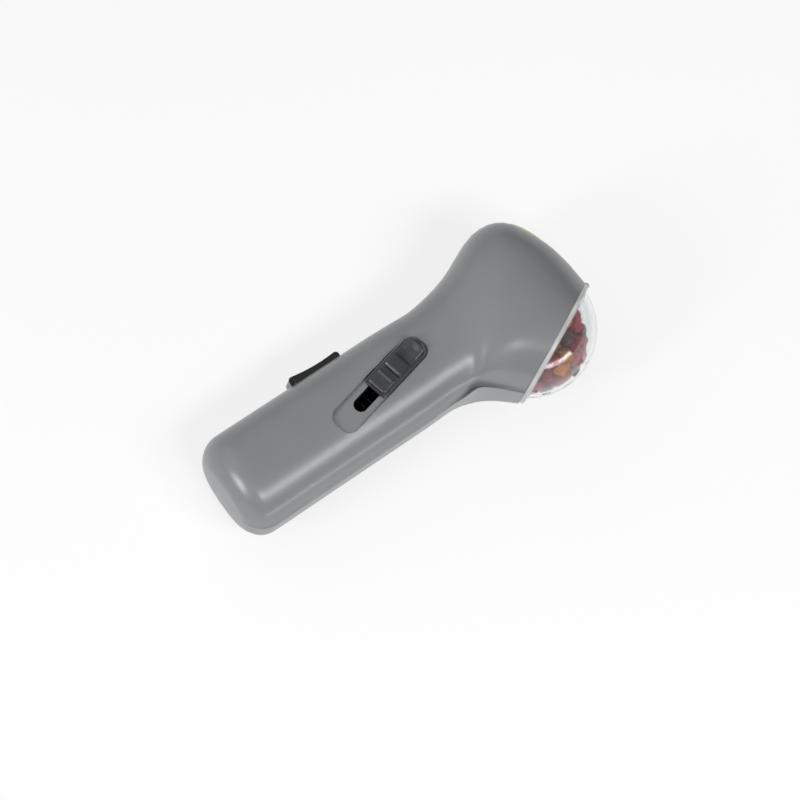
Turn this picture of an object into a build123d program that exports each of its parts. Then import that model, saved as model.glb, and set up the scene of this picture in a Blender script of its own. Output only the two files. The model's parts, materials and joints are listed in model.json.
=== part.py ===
from build123d import *
import math
import os

# Push button treat dispenser: a hand-held spring launcher for dry pet treats.
# Working frame, millimetres: X runs along the handle from its butt to the head, Y across the
# handle towards the trigger, Z across the two shell halves, which meet in the plane Z = 0.
# At the end every piece is laid down as the dispenser rests on a table.

# ---- body ----
handle_length = 84.9       # butt to the start of the head
butt_edges = (-22.6, 21.3)     # the handle's two edges across its axis, at the butt
neck_edges = (-21.2, 22.0)     # and where the head begins
handle_thickness = 38.6    # through both shell halves
handle_squareness = 2.35   # exponent of the handle's section: 2 is an ellipse
butt_round = 10.5          # rounding of the butt's edge
wall = 2.3                 # shell wall
rim_radius = 27.6          # outer radius of the hopper's rim
rim_forward = 64.25        # start of the head to the middle of the rim
rim_side = 20.25           # handle's axis to the middle of the rim, away from the trigger
rim_turn = 26.9            # degrees between the rim's plane and the handle's axis

# Head sections between the neck and the rim, fanned about the inner bend. Each row holds: the
# inner end's distance past the neck and its drop below the handle's edge, the outer end's
# distance and rise above the other edge, how far the section swells beyond the handle's half
# thickness, and its squareness.
head_sections = [
    (7.1, -0.3, 11.0, -0.2, 0.0, 2.35),
    (13.5, -0.6, 23.0, -0.2, 0.2, 2.35),
    (18.6, -0.4, 40.5, 3.6, 0.9, 2.4),
    (22.2, -0.2, 61.2, 12.2, 3.0, 2.6),
    (25.2, 0.5, 74.8, 9.5, 6.0, 2.6),
    (28.6, 2.3, 83.4, -4.0, 7.6, 2.4),
    (33.2, 5.7, 87.4, -16.6, 8.2, 2.15),
]
run_in = 10.2              # the head's sections set out level with one this far before the neck
butt_steps = 8             # sections round the butt's edge
head_steps = 4             # sections from one head section to the next
ring_points = 12           # steps round each half section

# ---- launch barrel, along the slider's slot ----
slider_back = 10.4         # middle of the slider's recess before the start of the head
slider_side = 0.76         # and across the handle's axis
barrel_turn = 13.8         # degrees from the handle's axis towards the trigger
barrel_bore = 15.0
barrel_wall = 1.5
barrel_back = 39.0         # recess middle back to the barrel's rear end
liner_start = 80.0         # recess middle to where the muzzle liner meets the barrel
muzzle_lip = 0.5           # the liner stands proud of the head by this much
barrel_fit = 0.05          # barrel in its saddles and in the shell's muzzle hole

# ---- slider, plunger and launch spring ----
travel = 19.0              # cocking stroke
slide_fit = 0.1            # radial clearance of what slides in the barrel
carriage_length = 20.0
neck_start = 5.0           # carriage's rear face to the neck
neck_length = 8.0
stroke_gap = 0.5           # slot past the neck at each end of the stroke
neck_breadth = 5.4
slot_breadth = 5.9         # slot in the shell and in the barrel
recess_length = 49.0
recess_breadth = 11.4
recess_corner = 4.2        # rounding of the recess's corners
recess_floor = 17.8        # height of the recess's floor above the parting plane
recess_flare = 20.0        # degrees of draft on the recess's wall
floor_thickness = 2.2      # shell under the recess
pad_margin = 2.0           # the shell is thickened this far round the recess
knob_rear = 3.7            # knob's rear end behind the recess's middle
knob_length = 27.5
knob_breadth = 10.0
knob_gap = 0.35            # knob over the recess's floor
knob_base = 1.4            # thickness of the knob's base plate
knob_block = (0.0, 7.2, 8.4, 3.1)      # rear thumb block: start, length, breadth, height
knob_step = (10.7, 6.8, 8.8, 2.3)      # middle step
knob_pad_start = 17.9      # front pad, round at its end
knob_pad_height = 1.9
knob_corner = 1.2          # rounding of the base plate's rear corners
knob_edge = 0.5            # rounding of the knob's upper edges
scoop_radius = 8.0         # hollow for the thumb in the front pad
scoop_floor = 0.3          # its lowest point above the base plate
rod_radius = 2.5
head_start = 24.0          # carriage's front face to the plunger's head
head_length = 22.0
head_land = 3.0            # full-width band at each end of the plunger's head
head_waist = 1.5           # relief between them
rod_socket = 6.0           # the rod's ends sit this deep in the carriage and the head
pad_thickness = 2.0
bumper_thickness = 2.0
web_thickness = 1.6        # the barrel's inner web that stops the carriage
spring_radius = 5.4        # launch spring, to the middle of its wire
spring_wire = 1.1
spring_turns = 10
seat_depth = 3.0           # spring seat's plug inside the barrel
seat_flange = 1.5

# ---- trigger ----
pivot_back = 4.5           # pivot behind the recess's middle
pivot_depth = 3.45         # and below the handle's edge
trigger_reach = 22.7       # rear end of the trigger behind the pivot
trigger_ahead = 2.0        # front end before it
trigger_proud = 1.9        # button's middle above the handle's edge
trigger_hook = 1.4         # its rear end stands this much higher
trigger_slit = (1.7, 0.9)  # slit behind the hook: distance from the rear end, breadth
trigger_breadth = 9.2
trigger_depth = 5.4        # lever's depth below the handle's edge
trigger_gap = 0.5          # round the trigger in its opening
pin_radius = 1.25
pin_fit = 0.05             # a hole on its pin
pin_reach = 8.0            # half the trigger pin's length
sear_thickness = 1.6
sear_nose = 3.0            # length of the nose along the barrel
sear_start = 1.5           # nose from the recess's middle
sear_gap = 0.4             # nose to the carriage at rest
sear_tail = 6.5            # the sear's tail inside the lever, behind the pin
sear_rise = 1.9            # and above the pin's axis
trigger_round = 1.6        # rounding of the lever's upper corners
trigger_spring_back = 18.8     # trigger spring behind the pivot
trigger_spring_radius = 2.0
trigger_spring_wire = 0.6
trigger_spring_turns = 5
shelf_height = 10.0        # the trigger spring's shelf, above the handle's axis
shelf_thickness = 1.6

# ---- hopper, lid and hinge, measured from the rim ----
hopper_margin = 5.6        # the rim's edge to the hopper's flange
hopper_wall = 1.6
hopper_step = 1.2          # the cone starts this far inside the flange's edge
hopper_throat = 6.5
hopper_lip = 2.2           # flange thickness
hopper_sink = 0.25         # flange below the rim
hopper_fit = 0.4           # flange in the shell
seal_thickness = 0.8
ledge = 1.6                # thickness of the shells' ledge that carries the hopper
throat_depth = 26.5
skirt_depth = 34.0         # the throat's skirt ends here, saddled on the barrel
dome_height = 17.0         # rim to the dome's top
dome_wall = 1.6
lid_flange = 1.8
lid_ledge = 2.8            # breadth of the flange outside the dome
lid_gap = 0.1              # lid over the rim
hinge_in = 1.7             # hinge axis inside the rim's edge
hinge_rise = 1.0           # and above the rim
hinge_pin = 0.6
knuckle_radius = 1.2       # of the lid's knuckle and the shells' eyes
knuckle_reach = 4.6        # half the knuckle's length
eye_length = 2.8
eye_foot = 0.9             # half the breadth of the eye's foot
hinge_gap = 0.3            # between the knuckle, the eyes and what lies about them

# ---- screws ----
butt_screw = (15.0, 0.0)   # from the butt and across
side_screw = (11.3, 14.0)  # behind the trigger and across
bend_screw = (3.1, -13.5)  # past the start of the head and across
head_screw_places = [(-27.0, 15.0), (25.0, 18.0)]    # along the rim and below it, in the head
screw_shank = 1.25
screw_head = 2.6
screw_head_height = 1.8
screw_seat = 7.0           # head's seat below the parting plane
screw_reach = 7.0          # shank above the parting plane
boss_wall = 1.3
screw_fit = 0.1

# ---- ribs that carry the barrel ----
rib_places = [-24.0, 24.0, 78.0]    # from the recess's middle along the barrel
rib_thickness = 1.6
rib_breadth = 26.0
ring_length = 4.0          # ring over the joint of the barrel and the muzzle liner
ring_wall = 2.0

far = 200.0                # larger than the whole dispenser
surface_step = 0.05        # how closely the overall size is read off the surfaces
surface_turn = 0.3
barrel_depth = 38.0        # the feed hole ends inside the barrel, below the rim
handle_half = handle_thickness / 2
barrel_radius = barrel_bore / 2 + barrel_wall
hopper_radius = rim_radius - hopper_margin
hopper_mouth = hopper_radius - hopper_wall
slider_x = handle_length - slider_back
pivot_x = slider_x - pivot_back
trigger_rear = pivot_x - trigger_reach
trigger_front = pivot_x + trigger_ahead
trigger_spring_x = pivot_x - trigger_spring_back


def turn(angle):
    """Unit vector in the parting plane at an angle from the handle's axis."""
    return Vector(math.cos(math.radians(angle)), math.sin(math.radians(angle)), 0)


# The rim's frame has its x along the rim, its y across the shells and its z out of the hopper.
rim_middle = Vector(handle_length + rim_forward, -rim_side, 0)
rim_frame = Plane(origin=rim_middle, x_dir=turn(rim_turn), z_dir=turn(rim_turn - 90)).location
# The barrel's frame has its z towards the muzzle and its x across the shells.
slider_middle = Vector(slider_x, slider_side, 0)
barrel_frame = Plane(origin=slider_middle, x_dir=(0, 0, 1), z_dir=turn(barrel_turn)).location
# The slider's frame has its x towards the muzzle and its z out of the upper shell.
slider_frame = Plane(origin=slider_middle, x_dir=turn(barrel_turn), z_dir=(0, 0, 1)).location


def bar(frame, radius, start, end):
    """Round bar along a frame's z."""
    upright = (Align.CENTER, Align.CENTER, Align.MIN)
    return frame * (Pos(0, 0, start) * Cylinder(radius, end - start, align=upright))


def block(frame, low, high):
    """Block between two corners of a frame."""
    size = [b - a for a, b in zip(low, high)]
    return frame * (Pos(*low) * Box(*size, align=(Align.MIN, Align.MIN, Align.MIN)))


def ring(inner, outer, half, squareness, side, inset=0.0):
    """Half of a closed section, on one side of the parting plane, between two edge points."""
    middle = (inner + outer) * 0.5
    across = (outer - inner).normalized()
    wide = (outer - inner).length / 2 - inset
    points = []
    for k in range(ring_points + 1):
        angle = math.pi * k / ring_points
        c, s = math.cos(angle), math.sin(angle)
        reach = math.copysign(abs(c) ** (2 / squareness), c) * wide
        rise = abs(s) ** (2 / squareness) * (half - inset) if 0 < k < ring_points else 0
        points.append(middle + across * reach + Vector(0, 0, side * rise))
    curve = Edge.make_spline(points, tangents=[(0, 0, side), (0, 0, -side)])
    return Wire([curve, Edge.make_line(points[-1], points[0])])


def edge_points(x):
    """Inner and outer edge points of the handle at a distance from its butt."""
    share = x / handle_length
    return [Vector(x, butt + (neck - butt) * share, 0) for butt, neck in zip(butt_edges, neck_edges)]


def section_row(inner, outer, half, squareness):
    """A section as plain numbers, so that sections can be blended."""
    return [inner.X, inner.Y, outer.X, outer.Y, half, squareness]


def blended(rows):
    """Rows from the second to the last, with smooth ones in between."""
    made = []
    for k in range(1, len(rows) - 1):
        before, start, end, after = rows[k - 1], rows[k], rows[k + 1], rows[min(k + 2, len(rows) - 1)]
        for j in range(head_steps):
            t = j / head_steps
            made.append([(2 * q + (r - p) * t + (2 * p - 5 * q + 4 * r - s) * t ** 2
                          + (3 * q - p - 3 * r + s) * t ** 3) / 2
                         for p, q, r, s in zip(before, start, end, after)])
    return made + [rows[-1]]


def head_rows():
    """Sections from the neck to the rim."""
    low, high = edge_points(handle_length)
    rows = [section_row(*edge_points(handle_length - run_in), handle_half, handle_squareness),
            section_row(low, high, handle_half, handle_squareness)]
    for x_in, drop, x_out, rise, swell, squareness in head_sections:
        inner, outer = low + Vector(x_in, -drop, 0), high + Vector(x_out, rise, 0)
        rows.append(section_row(inner, outer, handle_half + swell, squareness))
    reach = turn(rim_turn) * rim_radius
    rows.append(section_row(rim_middle - reach, rim_middle + reach, rim_radius, 2.0))
    return blended(rows)


def body_form(side, inset=0.0, rim_extra=0.0):
    """Solid form of one half of the body, drawn in by inset on every side but the rim."""
    bend = butt_round - inset
    rings = []
    for k in range(butt_steps + 1):
        angle = math.pi / 2 * k / butt_steps
        drawn_in = inset + bend * (1 - math.sin(angle))
        edges = edge_points(inset + bend * (1 - math.cos(angle)))
        rings.append(ring(*edges, handle_half, handle_squareness, side, drawn_in))
    for x_in, y_in, x_out, y_out, half, squareness in head_rows():
        inner, outer = Vector(x_in, y_in, 0), Vector(x_out, y_out, 0)
        rings.append(ring(inner, outer, half, squareness, side, inset))
    if rim_extra:
        past = turn(rim_turn - 90) * rim_extra
        rings.append(ring(inner + past, outer + past, half, squareness, side, inset))
    return Solid.make_loft(rings, True)


def screw_points():
    """Places of the shell screws in the parting plane."""
    places = [Vector(*butt_screw, 0), Vector(trigger_rear - side_screw[0], side_screw[1], 0),
              Vector(handle_length + bend_screw[0], bend_screw[1], 0)]
    for side, depth in head_screw_places:
        places.append((rim_frame * Pos(side, 0, -depth)).position)
    return places


def revolved(frame, points):
    """Solid of revolution about a frame's z from its (radius, height) outline."""
    outline = Plane.XZ * Polygon(*points, align=None)
    return frame * revolve(outline, Axis.Z)


def coil(frame, radius, wire, turns, start, end):
    """Round-wire compression spring along a frame's z."""
    rise = end - start - wire
    path = Pos(0, 0, start + wire / 2) * Helix(rise / turns, rise, radius)
    section = Plane(origin=path @ 0, z_dir=path % 0) * Circle(wire / 2)
    return frame * sweep(section, path, is_frenet=True)


def rib(place, thickness, half_breadth):
    """Wall square to the barrel that ends at place, cut to shape by the shell's form."""
    low = (-far, -half_breadth, place - thickness)
    return block(barrel_frame, low, (far, half_breadth, place))


def slot_bar(length, breadth, low, high, middle=0.0, flare=0.0, corner=0.0):
    """Bar with round ends, or rounded corners, standing on the slider's frame; flare widens its top."""
    outline = RectangleRounded(length, breadth, corner) if corner else SlotOverall(length, breadth)
    bar_form = extrude(outline, high - low, taper=-flare)
    return slider_frame * (Pos(middle, 0, low) * bar_form)


# ---- shells ----
ledge_top = hopper_sink + hopper_lip + seal_thickness
collar_depth = ledge_top + ledge
barrel_end = -barrel_back - seat_flange
edge_height = edge_points(pivot_x)[1].Y
pivot_y = edge_height - pivot_depth
trigger_low = edge_height - trigger_depth
trigger_half = trigger_breadth / 2 + trigger_gap
sear_top = pivot_y + sear_rise
pivot = Pos(pivot_x, pivot_y, 0)
hinge_x = rim_radius - hinge_in
hinge = rim_frame * Pos(hinge_x, 0, hinge_rise) * Rot(-90, 0, 0)
eye_start = knuckle_reach + hinge_gap
eye_end = eye_start + eye_length
slot_length = neck_length + travel + 2 * stroke_gap
slot_middle = neck_start + (neck_length - travel) / 2


def stays(side):
    """Collar, ribs, thrust wall, shelf and bosses of one shell."""
    screw_boss = screw_head + screw_fit + boss_wall if side < 0 else screw_shank + 2 * boss_wall
    made = [Pos(place) * Cylinder(screw_boss, 2 * far) for place in screw_points()]
    made += [rib(place, rib_thickness, rib_breadth / 2) for place in rib_places]
    made.append(rib(barrel_end - barrel_fit, seat_flange, barrel_radius + boss_wall))
    made.append(bar(rim_frame, rim_radius + 1, -collar_depth, 1))
    made.append(pivot * Cylinder(pin_radius + boss_wall, 2 * far))
    half = trigger_spring_radius + boss_wall
    low = (trigger_spring_x - half, shelf_height - shelf_thickness, -far)
    made.append(block(Location(), low, (trigger_spring_x + half, shelf_height, far)))
    if side > 0:
        length, breadth = recess_length + 2 * pad_margin, recess_breadth + 2 * pad_margin
        made.append(slot_bar(length, breadth, recess_floor - floor_thickness, far))
    return made


def cuts(side):
    """Everything cut from one shell after its inner parts are in."""
    made = [bar(barrel_frame, barrel_radius + barrel_fit, barrel_end - barrel_fit, far)]
    made.append(bar(rim_frame, hopper_radius + hopper_fit, -ledge_top, 2))
    made.append(bar(rim_frame, hopper_radius - 1, -collar_depth - 1, 2))
    made.append(block(Location(), (trigger_rear - trigger_gap, shelf_height + 2, -trigger_half),
                      (trigger_front + trigger_gap, far, trigger_half)))
    made.append(pivot * Cylinder(pin_radius + boss_wall + trigger_gap, 2 * trigger_half))
    made.append(pivot * Cylinder(pin_radius + pin_fit, 2 * (pin_reach + pin_fit)))
    made.append(hinge * Cylinder(knuckle_radius + hinge_gap, 2 * eye_start))
    for place in screw_points():
        made.append(Pos(place) * Cylinder(screw_shank + screw_fit, 2 * (screw_reach + screw_fit)))
        if side < 0:
            made.append(bar(Location((place.X, place.Y, 0)), screw_head + screw_fit, -far, -screw_seat))
    if side > 0:
        made.append(slot_bar(recess_length, recess_breadth, recess_floor, recess_floor + 6,
                             flare=recess_flare, corner=recess_corner))
        made.append(slot_bar(slot_length, slot_breadth, 0, far, middle=slot_middle))
    return made


def hinge_eye(side):
    """Eye of one shell for the lid's hinge pin, standing on the rim."""
    start, end = sorted((side * eye_start, side * eye_end))
    eye = bar(hinge, knuckle_radius, start, end)
    eye += block(rim_frame, (hinge_x - eye_foot, start, -eye_foot), (hinge_x + eye_foot, end, hinge_rise))
    return eye - hinge * Cylinder(hinge_pin + pin_fit, far)


def shell(side):
    """One half of the body with all it carries."""
    form = body_form(side)
    inner = [piece & form for piece in stays(side)]
    return form - body_form(side, wall, rim_extra=1.0) + inner - cuts(side) + hinge_eye(side)


# ---- barrel, muzzle liner and their ring ----
def launch_barrel():
    tube = bar(barrel_frame, barrel_radius, -barrel_back, liner_start)
    web_start = carriage_length + bumper_thickness
    tube -= bar(barrel_frame, barrel_bore / 2, -barrel_back - 1, web_start)
    tube -= bar(barrel_frame, barrel_bore / 2, web_start + web_thickness, liner_start + 1)
    tube -= bar(barrel_frame, rod_radius + slide_fit, 0, liner_start)
    tube -= slot_bar(slot_length, slot_breadth, 0, far, middle=slot_middle)
    nose_low, nose_high = sear_start - sear_thickness, sear_start + sear_nose + 2 * sear_thickness
    tube -= block(barrel_frame, (-sear_thickness, -far, nose_low), (sear_thickness, 0, nose_high))
    return tube - bar(rim_frame, hopper_throat, -barrel_depth, 0)


def muzzle_liner():
    tube = bar(barrel_frame, barrel_radius, liner_start, far)
    tube &= body_form(1, -muzzle_lip) + body_form(-1, -muzzle_lip)
    return tube - bar(barrel_frame, barrel_bore / 2, 0, far)


def barrel_retaining_ring():
    start = rib_places[-1] + barrel_fit
    ring_form = bar(barrel_frame, barrel_radius + ring_wall, start, start + ring_length)
    return ring_form - bar(barrel_frame, barrel_radius + barrel_fit, 0, far)


# ---- hopper ----
def hopper_funnel():
    flange_low = -hopper_sink - hopper_lip
    cone = hopper_radius - hopper_step
    throat = hopper_throat + hopper_wall
    points = [
        (hopper_mouth, -hopper_sink), (hopper_radius, -hopper_sink),
        (hopper_radius, flange_low), (cone, flange_low),
        (throat, -throat_depth), (throat, -skirt_depth),
        (hopper_throat, -skirt_depth), (hopper_throat, -throat_depth),
        (cone - hopper_wall, flange_low),
    ]
    return revolved(rim_frame, points) - bar(barrel_frame, barrel_radius + barrel_fit, 0, far)


def hopper_seal_ring():
    low = -ledge_top
    ring_form = bar(rim_frame, hopper_radius, low, low + seal_thickness)
    return ring_form - bar(rim_frame, hopper_radius - hopper_step + slide_fit, low - 1, 0)


def hopper_lid():
    base = rim_radius - lid_ledge
    low, top = lid_gap, lid_gap + lid_flange
    crown = dome_height - top
    curve = (base ** 2 + crown ** 2) / (2 * crown)
    centre = Pos(0, 0, dome_height - curve)
    dome = centre * Sphere(curve) & bar(Location(), base, low, dome_height + 1)
    lid = dome + bar(Location(), rim_radius, low, top)
    lid -= centre * Sphere(curve - dome_wall)
    rim_edges = lid.edges().filter_by(GeomType.CIRCLE).filter_by(
        lambda e: abs(e.radius - rim_radius) < lid_gap and e.center().Z > low + lid_gap)
    lid = fillet(rim_edges, lid_flange / 3)
    lid -= block(Location(), (hinge_x, -far, low - 1), (far, far, dome_height))
    for start, end in ((knuckle_reach, eye_end + hinge_gap), (-eye_end - hinge_gap, -knuckle_reach)):
        lid -= block(Location(), (hinge_x - knuckle_radius - hinge_gap, start, low - 1),
                     (far, end, dome_height))
    lid = rim_frame * lid + hinge * Cylinder(knuckle_radius, 2 * knuckle_reach)
    return lid - hinge * Cylinder(hinge_pin + pin_fit, 2 * far)


def lid_hinge_pin():
    return hinge * Cylinder(hinge_pin, 2 * eye_end)


# ---- slider and plunger ----
knob_low = recess_floor + knob_gap
knob_top = knob_low + knob_base
knob_root = knob_base / 2      # how far a raised part is let into the base, and the neck too


def knob_rise(start, length, breadth, height):
    """Raised part of the knob with rounded upper edges."""
    form = Box(length, breadth, height + knob_root, align=(Align.MIN, Align.CENTER, Align.MIN))
    form = fillet(form.faces().sort_by(Axis.Z)[-1].edges(), knob_edge)
    return slider_frame * (Pos(start, 0, knob_top - knob_root) * form)


def slider_knob():
    rear, half = -knob_rear, knob_breadth / 2
    end = rear + knob_length
    plate = Pos((rear + end - half) / 2, 0, knob_low) * extrude(Rectangle(end - half - rear, 2 * half), knob_base)
    plate = fillet(plate.edges().filter_by(Axis.Z).group_by(Axis.X)[0], knob_corner)
    knob = slider_frame * plate
    knob += slider_frame * (Pos(end - half, 0, knob_low + knob_base / 2) * Cylinder(half, knob_base))
    start, length, breadth, height = knob_block
    knob += knob_rise(rear + start, length, breadth, height)
    start, length, breadth, height = knob_step
    knob += knob_rise(rear + start, length, breadth, height)
    pad_half = half - knob_edge
    pad_low, pad_high = knob_top - knob_root, knob_top + knob_pad_height
    pad = block(slider_frame, (rear + knob_pad_start - knob_edge, -pad_half, pad_low),
                (end - half, pad_half, pad_high))
    pad += bar(slider_frame * Pos(end - half, 0, 0), pad_half, pad_low, pad_high)
    knob += pad
    scoop_middle = rear + (knob_pad_start + knob_length) / 2
    scoop = Pos(scoop_middle, 0, knob_top + scoop_radius + scoop_floor) * Sphere(scoop_radius)
    knob -= slider_frame * scoop
    pocket_size = neck_length + 2 * slide_fit, neck_breadth + 2 * slide_fit
    pocket_top = knob_low + knob_root + slide_fit
    return knob - slot_bar(*pocket_size, 0, pocket_top, middle=neck_start + neck_length / 2)


def slider_carriage():
    carriage = bar(barrel_frame, barrel_bore / 2 - slide_fit, 0, carriage_length)
    neck_middle = neck_start + neck_length / 2
    carriage += slot_bar(neck_length, neck_breadth, 0, knob_low + knob_root, middle=neck_middle)
    socket = carriage_length - rod_socket - slide_fit
    return carriage - bar(barrel_frame, rod_radius + pin_fit, socket, far)


def plunger_rod():
    return bar(barrel_frame, rod_radius, carriage_length - rod_socket,
               carriage_length + head_start + rod_socket)


def plunger_head():
    start = carriage_length + head_start
    head = bar(barrel_frame, barrel_bore / 2 - 2 * slide_fit, start, start + head_length)
    waist = barrel_bore / 2 - head_waist
    ring_form = bar(barrel_frame, barrel_radius, start + head_land, start + head_length - head_land)
    head -= ring_form - bar(barrel_frame, waist, start, start + head_length)
    return head - bar(barrel_frame, rod_radius + pin_fit, start - 1, start + rod_socket + slide_fit)


def plunger_pad():
    start = carriage_length + head_start + head_length
    return bar(barrel_frame, barrel_bore / 2 - 3 * slide_fit, start, start + pad_thickness)


def bumper_washer():
    start = carriage_length + slide_fit
    washer = bar(barrel_frame, barrel_bore / 2 - slide_fit, start, start + bumper_thickness - slide_fit)
    return washer - bar(barrel_frame, rod_radius + 2 * slide_fit, 0, far)


def spring_seat():
    seat = bar(barrel_frame, barrel_bore / 2 - slide_fit, -barrel_back, -barrel_back + seat_depth)
    seat += bar(barrel_frame, barrel_radius, barrel_end, -barrel_back)
    spigot = spring_radius - spring_wire / 2 - 2 * slide_fit
    return seat + bar(barrel_frame, spigot, barrel_end, -barrel_back + 2 * seat_depth)


def launch_spring():
    start = -barrel_back + seat_depth + slide_fit
    return coil(barrel_frame, spring_radius, spring_wire, spring_turns, start, -slide_fit)


# ---- trigger ----
def trigger_lever():
    middle = (trigger_rear + trigger_front) / 2
    top = edge_height + trigger_proud
    lean = trigger_slit[1]
    rear_low, rear_high = (trigger_rear, trigger_low), (trigger_rear + lean, top + trigger_hook)
    front_low, front_high = (trigger_front - lean, trigger_low), (trigger_front, top)
    outline = ThreePointArc(rear_high, (middle, top), (trigger_front, top + lean / 2))
    outline += Line((trigger_front, top + lean / 2), front_low)
    outline += Line(front_low, rear_low) + Line(rear_low, rear_high)
    face = make_face(outline)
    face = fillet(face.vertices().sort_by(Axis.Y)[-2:], trigger_round)
    lever = extrude(face, trigger_breadth / 2, both=True)
    lever += pivot * Cylinder(pin_radius + boss_wall, trigger_breadth)
    slit = trigger_rear + trigger_slit[0]
    lever -= block(Location(), (slit, edge_height - lean, -far), (slit + lean, top, far))
    sear_room = sear_thickness / 2 + pin_fit
    tail = pivot_x - sear_tail - pin_fit
    lever -= block(Location(), (tail, 0, -sear_room), (far, sear_top + pin_fit, sear_room))
    return lever - pivot * Cylinder(pin_radius + pin_fit, 2 * far)


def trigger_sear():
    half = sear_thickness / 2
    sear = pivot * Cylinder(pin_radius + boss_wall, sear_thickness)
    sear &= block(Location(), (0, 0, -far), (far, sear_top, far))
    sear += block(Location(), (pivot_x - sear_tail, pivot_y - pin_radius, -half),
                  (pivot_x, sear_top, half))
    reach = barrel_bore / 2 - slide_fit + sear_gap
    nose_end = sear_start + sear_nose
    nose = block(barrel_frame, (-half, -reach - sear_nose, sear_start), (half, -reach, nose_end))
    top = (barrel_frame * Pos(0, -reach - sear_nose / 2, sear_start + sear_nose / 2)).position
    start = Vector(pivot_x, pivot_y, 0)
    arm_frame = Plane(origin=start, x_dir=top - start, z_dir=(0, 0, 1)).location
    arm = block(arm_frame, (0, -sear_nose / 2, -half), ((top - start).length, sear_nose / 2, half))
    return sear + nose + arm - pivot * Cylinder(pin_radius + pin_fit, 2 * far)


def trigger_pin():
    return pivot * Cylinder(pin_radius, 2 * pin_reach)


def trigger_spring():
    foot = Plane(origin=(trigger_spring_x, 0, 0), x_dir=(1, 0, 0), z_dir=(0, 1, 0)).location
    return coil(foot, trigger_spring_radius, trigger_spring_wire, trigger_spring_turns,
                shelf_height + slide_fit, trigger_low - slide_fit)


def shell_screws():
    """All shell screws, driven in from the lower side."""
    screws = []
    for place in screw_points():
        foot = Location((place.X, place.Y, 0))
        head_low = -screw_seat - screw_head_height
        screw = bar(foot, screw_shank, head_low, screw_reach)
        screw += bar(foot, screw_head, head_low, -screw_seat)
        for angle in (0, 90):
            cross = Box(2 * screw_shank, screw_shank / 2, screw_head_height)
            screw -= foot * Pos(0, 0, head_low) * Rot(0, 0, angle) * cross
        screws.append(screw)
    return Compound(children=screws)


pieces = {
    "upper_shell": shell(1),
    "lower_shell": shell(-1),
    "launch_barrel": launch_barrel(),
    "muzzle_liner": muzzle_liner(),
    "barrel_retaining_ring": barrel_retaining_ring(),
    "hopper_funnel": hopper_funnel(),
    "hopper_seal_ring": hopper_seal_ring(),
    "hopper_lid": hopper_lid(),
    "lid_hinge_pin": lid_hinge_pin(),
    "slider_knob": slider_knob(),
    "slider_carriage": slider_carriage(),
    "plunger_rod": plunger_rod(),
    "plunger_head": plunger_head(),
    "plunger_pad": plunger_pad(),
    "bumper_washer": bumper_washer(),
    "spring_seat": spring_seat(),
    "launch_spring": launch_spring(),
    "trigger_lever": trigger_lever(),
    "trigger_sear": trigger_sear(),
    "trigger_pin": trigger_pin(),
    "trigger_spring": trigger_spring(),
    "shell_screws": shell_screws(),
}

# ---- laid down: the butt's and the head's undersides both touch the table ----
slopes = []
for x_in, y_in, x_out, y_out, half, squareness in head_rows()[1:]:
    slopes.append((half - handle_half) / ((x_in + x_out) / 2 - butt_round))
lying_tilt = math.degrees(math.atan(max(slopes)))
tilt = Rot(0, -lying_tilt, 0)
points = []
for name in ("upper_shell", "lower_shell", "hopper_lid", "trigger_lever"):
    points += (tilt * pieces[name]).tessellate(surface_step, surface_turn)[0]
ends = [(min(axis), max(axis)) for axis in zip(*[tuple(point) for point in points])]
laid = Pos(-sum(ends[0]) / 2, -sum(ends[1]) / 2, -ends[2][0]) * tilt

os.makedirs("parts", exist_ok=True)
for name, piece in pieces.items():
    export_step(laid * piece, f"parts/{name}.step")
print(len(pieces), "pieces; overall", [round(high - low, 2) for low, high in ends])
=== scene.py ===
# %% [markdown]
# # A push button treat dispenser
# The dispenser is a hand-held launcher for dry pet treats: a grey two-part body, a clear domed
# lid over the hopper, a slider that cocks the spring and a trigger that lets it go. The packed
# model is loaded first. It could be modelled again from nothing in Blender, but the solids
# already have the true sizes, so this script only dresses them.

import json
import math
import random

import bmesh
import bpy
from mathutils import Matrix, Vector


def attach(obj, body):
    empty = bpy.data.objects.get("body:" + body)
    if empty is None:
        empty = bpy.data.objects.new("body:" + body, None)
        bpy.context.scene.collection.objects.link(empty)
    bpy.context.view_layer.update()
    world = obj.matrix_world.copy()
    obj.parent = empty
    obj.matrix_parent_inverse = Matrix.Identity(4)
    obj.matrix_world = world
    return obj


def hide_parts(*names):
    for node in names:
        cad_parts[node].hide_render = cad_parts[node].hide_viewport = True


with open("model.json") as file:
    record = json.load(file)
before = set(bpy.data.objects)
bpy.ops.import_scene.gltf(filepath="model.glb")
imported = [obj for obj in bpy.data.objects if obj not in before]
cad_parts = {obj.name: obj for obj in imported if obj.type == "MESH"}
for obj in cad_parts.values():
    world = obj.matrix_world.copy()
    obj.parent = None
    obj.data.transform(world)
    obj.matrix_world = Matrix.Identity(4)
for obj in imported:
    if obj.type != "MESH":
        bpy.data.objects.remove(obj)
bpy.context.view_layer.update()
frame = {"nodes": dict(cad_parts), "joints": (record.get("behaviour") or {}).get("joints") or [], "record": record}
nodes = frame["nodes"]
print("pieces in the frame:", len(nodes))

# %% [markdown]
# ## Where things are
# Everything on the dispenser was drawn along its handle and then laid down on a table, so a few
# degrees of tilt lie between that drawing and the world. The lid's hinge axis stands square to
# the plane in which the two shells meet, and the middle of the butt is one of the stated
# mounts: with these two, a point of the drawing in millimetres becomes a point in the world.

# %% The drawing's axes in the world
joints = {joint["name"]: joint for joint in frame["joints"]}
up = Vector(joints["lid_hinge"]["axis"])
along = Vector((up.z, 0, -up.x))
across = Vector((0, 1, 0))
# the mount on the butt lies 0.65 mm to the near side of the drawing's origin and 4 mm above it
butt = Vector(frame["record"]["mounts"][0]["pos_m"])
origin = butt + across * 0.00065 - up * 0.004


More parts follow.
